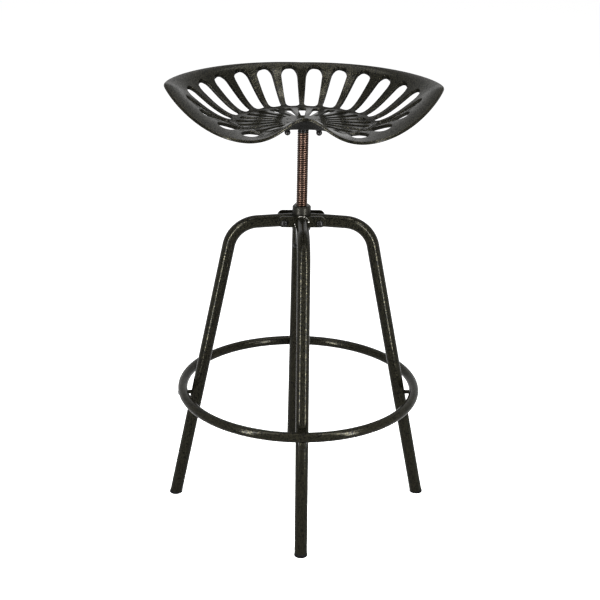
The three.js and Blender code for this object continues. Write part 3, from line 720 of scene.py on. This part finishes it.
def sunkBolt(name, finish):
    # a flat head on a cone, flush with the pan, with a six-sided socket
    shank, head = seatPlate["bolt"] / 2, seatPlate["head"] / 2
    tail, cone = nutTop - seatPlate["nutHeight"] - boltTop, -seatPlate["headHeight"]
    bolt = turned(name, finish, [(shank - 0.6, tail), (shank, tail + 0.6), (shank, cone), (head, -0.35),
                                 (head - 0.25, 0)], 40)
    deselect()
    bpy.ops.mesh.primitive_cylinder_add(vertices=6, radius=2.3 * mm, depth=4 * mm)
    socket = bpy.context.object
    modify(bolt, "BOOLEAN", object=socket, operation="DIFFERENCE", solver="EXACT")
    bpy.data.objects.remove(socket)
    smooth(bolt, 30)
    return bolt


firstBolt = sunkBolt("front_left_pan_bolt", enamel)
nutBody = hexNut("front_left_pan_nut", hardware, seatPlate["nut"] - 2, 3.6, 0)
transformed(nutBody, moveTo(0, 0, -1.8))
nutFoot = -seatPlate["nutHeight"] - seatPlate["nutDome"]
ball = [(seatPlate["nut"] / 2 * math.cos(a), nutFoot + seatPlate["nut"] / 2 * (1 - math.sin(a)))
        for a in np.linspace(-math.pi / 3, math.pi / 2, 18)[:-1]]
nutDome = turned("nut_dome", hardware, [*ball, (0.3, nutFoot)], 40)
smooth(nutDome, 45)
firstNut = joined(nutBody, nutDome)
boltPlaces = {f"{end}_{hand}": (x * boltSide, y * boltReach)
              for end, y in (("front", -1), ("rear", 1)) for hand, x in (("left", -1), ("right", 1))}
for place, (x, y) in reversed(boltPlaces.items()):
    first = place == "front_left"
    bolt = firstBolt if first else copied(firstBolt, f"{place}_pan_bolt")
    nut = firstNut if first else copied(firstNut, f"{place}_pan_nut")
    for piece, height, node in ((bolt, boltTop, "seat_bolt"), (nut, nutTop, "seat_nut")):
        transformed(piece, turnZ(seatTurn) @ moveTo(x, y, height))
        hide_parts(f"{place}_{node}")
        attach(piece, "seat")
print("seat plate done")


# seat pan: a flat grid whose columns run out from the hub, laid round the slots, then dished

def ease(share):
    return share * share * (3 - 2 * share)


def outlineTable():
    wide, back, lobe, side = pan["halfWidth"], pan["back"], pan["lobe"], pan["lobeSide"]
    forward, pommel = pan["cornerForward"], pan["pommel"]
    a, b, c, d, e, f = pan["handles"]
    spans = [
        ((0, back), (a * wide, back), (wide, b * (back + forward) - forward), (wide, -forward)),
        ((wide, -forward), (wide, -forward - c * (lobe - forward)),
         (side + d * (wide - side), -lobe), (side, -lobe)),
        ((side, -lobe), ((1 - e) * side, -lobe), (f * side, -pommel), (0, -pommel))]
    rows = []
    for span, points in enumerate(spans):
        share = np.linspace(0, 1, 241)[:-1] if span < 2 else np.linspace(0, 1, 241)
        a, b, c, d = [np.array(point, float) for point in points]
        s = share[:, None]
        place = a * (1 - s) ** 3 + 3 * b * s * (1 - s) ** 2 + 3 * c * s ** 2 * (1 - s) + d * s ** 3
        values = []
        for name in ("rises", "powers", "margins", "starts"):
            atBack = name == "rises" and span == 0
            way = ease(np.minimum(share + pan["turnLead"], 1) ** pan["turnPower"] if atBack else share)
            low, high = pan[name][span], pan[name][span + 1]
            values.append(low + (high - low) * way)
        rows.append(np.column_stack([np.arctan2(place[:, 0], place[:, 1]), np.hypot(*place.T), *values]))
    return np.concatenate(rows)


outline = dict(zip(("angle", "reach", "rise", "power", "margin", "start"), outlineTable().T))


def rimAt(angle, name):
    return np.interp(angle, outline["angle"], outline[name])


def panHeight(x, y, rolled=1):  # the top of the sheet, in millimetres
    radius = np.hypot(x, y)
    angle = np.arctan2(np.abs(x), y)
    reach, rise, power = rimAt(angle, "reach"), rimAt(angle, "rise"), rimAt(angle, "power")
    wayOut = np.clip((radius - pan["hubFoot"]) / (reach - pan["hubFoot"]), 0, 1)
    roll = np.maximum(0, (radius - reach + pan["rollWidth"]) / pan["rollWidth"]) ** 2
    hubRise = 1 - ease(np.clip((radius - pan["hubFlat"]) / (pan["hubFoot"] - pan["hubFlat"]), 0, 1))
    forward = ease(np.clip((-y - pan["ridgeStart"]) / (pan["pommel"] - pan["ridgeStart"]), 0, 1))
    ridge = np.exp(-(x / pan["ridgeWidth"]) ** 2) * forward
    return (dishLow + rise * ease(wayOut ** power) - rolled * pan["rollDrop"] * roll
            + pan["dishDrop"] * hubRise + pan["ridgeRise"] * ridge)


def panUnder(x, y):  # the underside, thick at the slots and thin at the rim
    slopeX = panHeight(x + 0.5, y, 0) - panHeight(x - 0.5, y, 0)
    slopeY = panHeight(x, y + 0.5, 0) - panHeight(x, y - 0.5, 0)
    reach = rimAt(np.arctan2(np.abs(x), y), "reach")
    wayOut = (np.hypot(x, y) - pan["hubFoot"]) / (reach - pan["hubFoot"])
    atBack = np.maximum(y, 0) / np.maximum(np.hypot(x, y), 1)
    wall = np.interp(wayOut, pan["wallAt"], pan["walls"])
    wall = wall + pan["backWall"] * atBack * np.interp(wayOut, pan["backWallAt"], pan["backWallShares"])
    return panHeight(x, y) - wall * np.minimum(np.sqrt(1 + slopeX ** 2 + slopeY ** 2), pan["steepest"])


def ringLine(radius):
    return np.column_stack([radius * np.sin(outline["angle"]), radius * np.cos(outline["angle"])])


def along(line, share):
    length = np.concatenate([[0], np.cumsum(np.hypot(*np.diff(line, axis=0).T))])
    goal = np.asarray(share) * length[-1]
    return np.column_stack([np.interp(goal, length, line[:, axis]) for axis in (0, 1)]), length[-1]


startLine = ringLine(outline["start"])
endLine = ringLine(outline["reach"] - outline["margin"])
bandLine = ringLine(outline["start"] - pan["band"])

# stations of the grid: columns round the pan from the back, rings from the hub out
grid = {"pitch": 12, "slot": 8, "front": 20, "hubRing": 38.5, "rings": (0, 2, 14, 18, 32, 37, 41),
        "passes": 400}
halfColumns = grid["pitch"] * pan["slots"] + grid["front"]
columns = 2 * halfColumns
hubAt, thinFrom, thinTo, slotFrom, slotTo, rollAt, rimRing = grid["rings"]


def sweepShare(column, sweep):
    slotted = grid["pitch"] * pan["slots"]
    return np.where(column <= slotted, sweep * column / slotted,
                    sweep + (1 - sweep) * (column - slotted) / grid["front"])


def halfPlan():
    column = np.arange(halfColumns + 1)
    start, startLength = along(startLine, sweepShare(column, pan["sweepInner"]))
    end, endLength = along(endLine, sweepShare(column, pan["sweepOuter"]))
    band = along(bandLine, sweepShare(column, pan["sweepInner"]))[0]
    bandWay = band / np.linalg.norm(band, axis=1)[:, None]
    endAngle = np.arctan2(end[:, 0], end[:, 1])
    endWay = np.column_stack([np.sin(endAngle), np.cos(endAngle)])
    rim = endWay * rimAt(endAngle, "reach")[:, None]
    knots = {hubAt: bandWay * grid["hubRing"], thinFrom: bandWay * pan["hubFlat"], thinTo: band, slotFrom: start,
             slotTo: end, rollAt: rim - endWay * pan["rollWidth"], rimRing: rim}
    plan = np.zeros((rimRing + 1, halfColumns + 1, 2))
    for low, high in zip(grid["rings"], grid["rings"][1:]):
        for place in range(low, high + 1):
            share = (place - low) / (high - low)
            plan[place] = knots[low] * (1 - share) + knots[high] * share
    return plan, startLength, endLength


def slotOutline(start, end, widths, corners, cellsAcross, cellsAlong):
    # the four sides of a slot as rows of points: inner end, outer end, low side, high side
    length = np.linalg.norm(end - start)
    out = (end - start) / length
    side = np.array([out[1], -out[0]])
    narrow, wide = widths[0] / 2, widths[1] / 2
    bend, crownBend = min(corners[0], narrow - 0.3), min(corners[1], wide)
    turnSteps, crownSteps = 12, 24
    t = np.linspace(0, 1, turnSteps + 1)[:, None]
    quad = (np.array([narrow - bend, 0]) * (1 - t) ** 2 + 2 * np.array([narrow, 0]) * t * (1 - t)
            + np.array([narrow, bend]) * t ** 2)
    arc = np.linspace(0, math.pi / 2, crownSteps + 1)[:, None]
    cap = np.hstack([wide - crownBend * (1 - np.cos(arc)), length - crownBend * (1 - np.sin(arc))])
    half = np.concatenate([[[0, 0]], quad[:turnSteps // 2 + 1]])
    flank = np.concatenate([quad[turnSteps // 2:], cap[:crownSteps // 2 + 1]])
    crown = np.concatenate([cap[crownSteps // 2:], [[0, length]]])
    inner = np.concatenate([half[::-1] * [-1, 1], half[1:]])
    outer = np.concatenate([crown * [-1, 1], crown[-2::-1]])
    world = []
    for row, cells in ((inner, cellsAcross), (outer, cellsAcross),
                       (flank * [-1, 1], cellsAlong), (flank, cellsAlong)):
        points, _ = along(row, np.linspace(0, 1, cells + 1))
        world.append(start + points[:, :1] * side + points[:, 1:] * out)
    return world


def panPlan():
    plan, startLength, endLength = halfPlan()
    full = np.concatenate([plan, plan[:, -2:0:-1] * [-1, 1]], axis=1)
    fixed = np.zeros(full.shape[:2], bool)
    fixed[hubAt] = fixed[rollAt:] = True
    holes = np.zeros(full.shape[:2], bool)
    startWidth = startLength * pan["sweepInner"] / pan["slots"] - pan["rib"]
    endWidth = endLength * pan["sweepOuter"] / pan["slots"] - pan["ribEnd"]
    blocks = []
    for slot in range(pan["slots"]):
        share = (slot + 0.5) / pan["slots"]
        start = along(startLine, [share * pan["sweepInner"]])[0][0]
        end = along(endLine, [share * pan["sweepOuter"]])[0][0]
        first = slot * grid["pitch"] + (grid["pitch"] - grid["slot"]) // 2
        blocks.append((start, end, (startWidth, endWidth), pan["slotCorners"], first,
                       grid["slot"], slotFrom, slotTo))
    for slot in range(pan["slots"] + 1):
        end = along(bandLine, [slot / pan["slots"] * pan["sweepInner"]])[0][0]
        start = end / np.linalg.norm(end) * pan["hubFlat"]
        cells = grid["pitch"] - grid["slot"]
        blocks.append((start, end, pan["thin"], pan["thinCorners"], slot * grid["pitch"] - cells // 2,
                       cells, thinFrom, thinTo))
    for start, end, widths, corners, first, cells, low, high in blocks:
        inner, outer, lowSide, highSide = slotOutline(start, end, widths, corners, cells, high - low)
        for mirror in (False, True):
            def at(column):
                return (-column if mirror else column) % columns
            flip = [-1, 1] if mirror else [1, 1]
            for step in range(cells + 1):
                full[low, at(first + step)] = inner[step] * flip
                full[high, at(first + step)] = outer[step] * flip
            for step in range(high - low + 1):
                full[low + step, at(first)] = lowSide[step] * flip
                full[low + step, at(first + cells)] = highSide[step] * flip
            for step in range(cells + 1):
                fixed[low:high + 1, at(first + step)] = True
            for step in range(cells):
                cell = at(first + step + 1) if mirror else at(first + step)
                holes[low:high, cell] = True
    for _ in range(grid["passes"]):  # evens the cells out between the slots
        around = (np.roll(full, 1, 1) + np.roll(full, -1, 1)) / 2
        outIn = full.copy()
        outIn[1:-1] = (full[2:] + full[:-2]) / 2
        full = np.where(fixed[..., None], full, 0.5 * around + 0.5 * outIn)
    return full, holes


def panPiece():
    plan, holes = panPlan()
    deselect()
    bpy.ops.mesh.primitive_grid_add(x_subdivisions=columns, y_subdivisions=rimRing, size=1)
    piece = bpy.context.object
    points = readPoints(piece)
    column = np.rint((points[:, 0] + 0.5) * columns).astype(int)
    place = np.rint((points[:, 1] + 0.5) * rimRing).astype(int)
    editMode()

    def inSlot(face):
        centre = face.calc_center_median()
        return holes[int((centre.y + 0.5) * rimRing), int((centre.x + 0.5) * columns)]
    pick("FACE", inSlot)
    bpy.ops.mesh.delete(type="FACE")
    shape = bmesh.from_edit_mesh(piece.data)
    for vertex in shape.verts:
        x, y = plan[round((vertex.co.y + 0.5) * rimRing), round((vertex.co.x + 0.5) * columns) % columns]
        vertex.co = (x * mm, y * mm, 0)
    bmesh.update_edit_mesh(piece.data)
    bpy.ops.mesh.select_all(action="SELECT")
    bpy.ops.mesh.remove_doubles(threshold=closeBy)
    # the hub's flat middle, filled round the bolts' holes
    play, head, shank = seatPlate["play"], seatPlate["head"] / 2, seatPlate["bolt"] / 2
    bpy.ops.mesh.select_all(action="DESELECT")
    for x, y in boltPlaces.values():
        bpy.ops.mesh.primitive_circle_add(vertices=40, radius=(head + play) * mm, fill_type="NOTHING",
                                          location=(x * mm, y * mm, 0))
    joint = (grid["hubRing"] + 0.5) * mm

    def roundHub(edge):
        return edge.is_boundary and max(v.co.length for v in edge.verts) < joint or not edge.link_faces
    pick("EDGE", roundHub)
    bpy.ops.mesh.fill()
    bpy.ops.mesh.select_all(action="SELECT")
    bpy.ops.mesh.normals_make_consistent(inside=False)
    bpy.ops.mesh.extrude_region_move(TRANSFORM_OT_translate={"value": (0, 0, -pan["wall"] * mm)})
    objectMode()
    piece = named("tractor_pan", enamel)
    points = readPoints(piece)
    top = points[:, 2] > -pan["wall"] / 2 * mm
    for place in boltPlaces.values():  # the holes narrow downwards, for the bolts' cones
        away = points[:, :2] - np.array(place) * mm
        rim = ~top & (np.hypot(*away.T) < (head + play + 0.05) * mm)
        points[rim, :2] -= away[rim] * (1 - (shank + play) / (head + play))
    x, y = points[:, 0] / mm, points[:, 1] / mm
    points[:, 2] = np.where(top, panHeight(x, y), panUnder(x, y)) * mm
    writePoints(piece, points)
    # marks the underside for the enamel: more roughness, and no flecks as painted shade
    mattShade = piece.data.attributes.new("mattShade", "FLOAT", "POINT")
    mattShade.data.foreach_set("value", (~top).astype(np.float32))
    selectOnly(piece)
    editMode()
    bpy.ops.mesh.select_all(action="SELECT")
    bpy.ops.mesh.normals_make_consistent(inside=False)
    # the edges are rounded most at the rim, less at the outer slots and least at the inner ones
    rimShare, slotShare, hubShare = pan["edgeShares"]
    shape = bmesh.from_edit_mesh(piece.data)
    weight = shape.edges.layers.float.new("bevel_weight_edge")
    for edge in shape.edges:
        upright = [abs(face.normal.z) < 0.02 for face in edge.link_faces]
        if len(upright) == 2 and upright[0] != upright[1]:
            reach = (edge.verts[0].co.xy.length + edge.verts[1].co.xy.length) / 2 / mm
            angle = math.atan2(abs(edge.verts[0].co.x), edge.verts[0].co.y)
            if reach > rimAt(angle, "reach") - 2:
                edge[weight] = rimShare
            elif reach > rimAt(angle, "start") - 6:
                edge[weight] = slotShare
            else:
                edge[weight] = hubShare
    bmesh.update_edit_mesh(piece.data)
    objectMode()
    modify(piece, "BEVEL", width=pan["edge"] * mm, segments=3, limit_method="WEIGHT", use_clamp_overlap=False)
    transformed(piece, turnZ(seatTurn))
    smooth(piece, 50)
    return piece


seatPan = panPiece()
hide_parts("seat_pan")
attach(seatPan, "seat")
print("seat pan done", len(seatPan.data.polygons))

# floor, background, lights and camera

studio = {"floor": 30, "glow": 0.85, "dome": 0.15}


def rays(sheet):  # what the camera sees, and what is mirrored or let through
    path = sheet.tree.nodes.new("ShaderNodeLightPath")
    seen, glossy, through = [Value(sheet, path.outputs[f"Is {ray} Ray"])
                             for ray in ("Camera", "Glossy", "Transmission")]
    return seen, glossy.maths("MAXIMUM", through)


def floorFinish():
    sheet = Sheet("floorPaper")
    seen, mirrored = rays(sheet)
    colour = sheet.mix(sheet.noise(2) * 0.1, (0.86, 0.86, 0.86), (0.84, 0.84, 0.84))
    paper = sheet.node("ShaderNodeBsdfDiffuse", None, {"Color": colour})
    glow = sheet.node("ShaderNodeEmission", None, {"Strength": studio["glow"]})
    bright = sheet.node("ShaderNodeAddShader", None, {0: paper, 1: glow})
    lit = sheet.node("ShaderNodeMixShader", None, {0: seen, 1: paper, 2: bright})
    white = sheet.node("ShaderNodeEmission", None, {"Strength": 1})
    return sheet.finish(sheet.node("ShaderNodeMixShader", None, {0: mirrored, 1: lit, 2: white}))


deselect()
bpy.ops.mesh.primitive_plane_add(size=studio["floor"])
floor = named("studio_floor", floorFinish())


def skyFinish():
    sheet = Sheet("studio", world=True)
    seen, mirrored = rays(sheet)
    shown = seen.maths("MAXIMUM", mirrored)
    return sheet.finish(sheet.node("ShaderNodeBackground", None, {
        "Color": (1, 1, 1, 1), "Strength": studio["dome"] + (1 - studio["dome"]) * shown}))


bpy.context.scene.world = skyFinish()


def softLight(name, place, aim, width, height, power):
    deselect()
    bpy.ops.object.light_add(type="AREA", location=place)
    lamp = bpy.context.object
    lamp.name = name
    lamp.data.shape = "RECTANGLE"
    lamp.data.size = width
    lamp.data.size_y = height
    lamp.data.energy = power
    lamp.rotation_euler = (Vector(aim) - Vector(place)).to_track_quat("-Z", "Y").to_euler()


softLight("top_light", (0, 0.35, 2.5), (0, 0, 0.7), 1.5, 1.3, 19)
softLight("left_top_box", (-0.62, -0.38, 2.3), (0, 0.1, 0.78), 0.45, 0.45, 9)
softLight("right_top_box", (0.62, -0.36, 2.3), (0, 0.1, 0.78), 0.45, 0.45, 11)
softLight("left_box", (-1.0, -0.8, 1.6), (0, 0, 0.6), 0.5, 0.5, 10)
softLight("right_box", (1.0, -0.7, 1.6), (0, 0, 0.6), 0.5, 0.5, 10)
softLight("left_strip", (-0.55, -0.6, 0.52), (0, 0, 0.5), 0.1, 0.85, 13)
softLight("right_strip", (0.45, -0.55, 0.52), (0, 0, 0.5), 0.09, 0.85, 11)

view = {"lens": 84.04, "place": (-0.1046, -2.4209, 1.3516), "heading": math.radians(-2.4766),
        "pitch": math.radians(21.3866), "roll": math.radians(1.094)}
heading, pitch, roll = view["heading"], view["pitch"], view["roll"]
ahead = Vector((-math.sin(heading) * math.cos(pitch), math.cos(heading) * math.cos(pitch), -math.sin(pitch)))
level = Vector((math.cos(heading), math.sin(heading), 0))
upward = level.cross(ahead)
right = level * math.cos(roll) + upward * math.sin(roll)
up = upward * math.cos(roll) - level * math.sin(roll)
deselect()
bpy.ops.object.camera_add()
camera = bpy.context.object
camera.name = "photo_camera"
camera.data.lens = view["lens"]
camera.data.sensor_width = 36
camera.data.clip_end = 100
camera.matrix_world = Matrix.Translation(view["place"]) @ Matrix((right, up, -ahead)).transposed().to_4x4()
bpy.context.scene.camera = camera
bpy.context.scene.view_settings.view_transform = "Standard"
print("studio ready")
